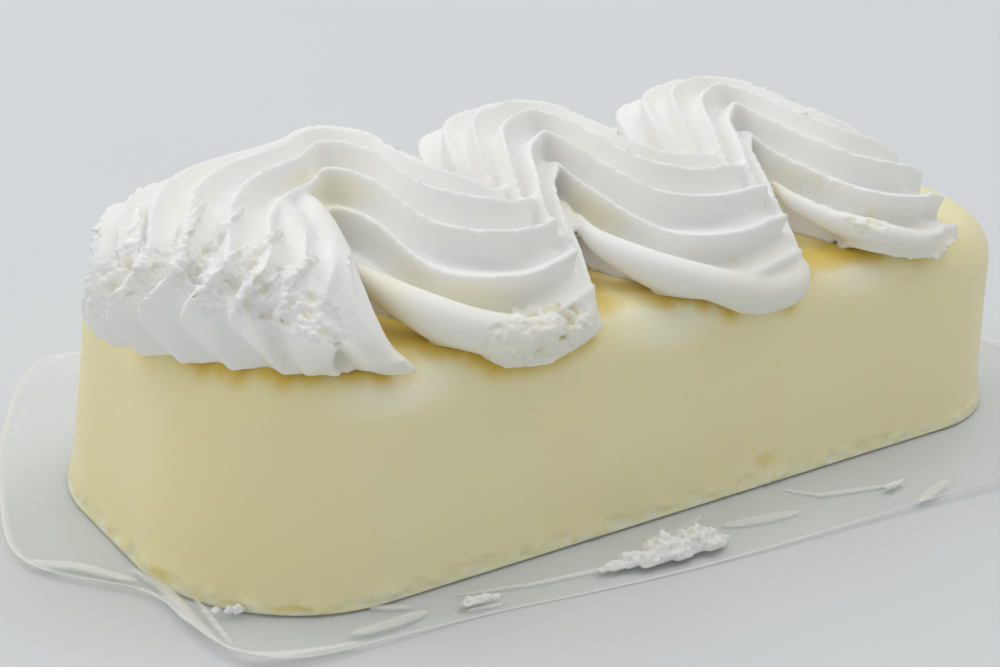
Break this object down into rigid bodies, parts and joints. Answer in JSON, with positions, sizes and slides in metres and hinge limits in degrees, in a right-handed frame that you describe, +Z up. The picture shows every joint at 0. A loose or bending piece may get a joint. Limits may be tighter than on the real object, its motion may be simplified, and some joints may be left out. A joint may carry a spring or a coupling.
{
  "type": "bar cheesecake with piped cream",
  "caption": "Bar of pale cheesecake with rounded ends and a wave of piped whipped cream along its top, standing on its clear film.",
  "frame": {"origin": "on the underside of the film, under the middle of the object", "axes": "+X along the bar, the piping starts at -X; -Y is the long side towards the viewer; +Z up"},
  "size_m": [0.1285, 0.0731, 0.0354],
  "materials": {
    "cheesecake": "smooth moist baked cheese, fine grain",
    "whipped_cream": "soft satin whipped cream with sharp piped ridges",
    "clear_film": "thin clear glossy film with curled edges"
  },
  "bodies": {
    "root": {"cheesecake_body": "cheesecake", "cream_ribbon": "whipped_cream", "cream_dab_large": "whipped_cream", "cream_dab_small": "whipped_cream", "film_sheet": "clear_film"}
  },
  "joints": []
}
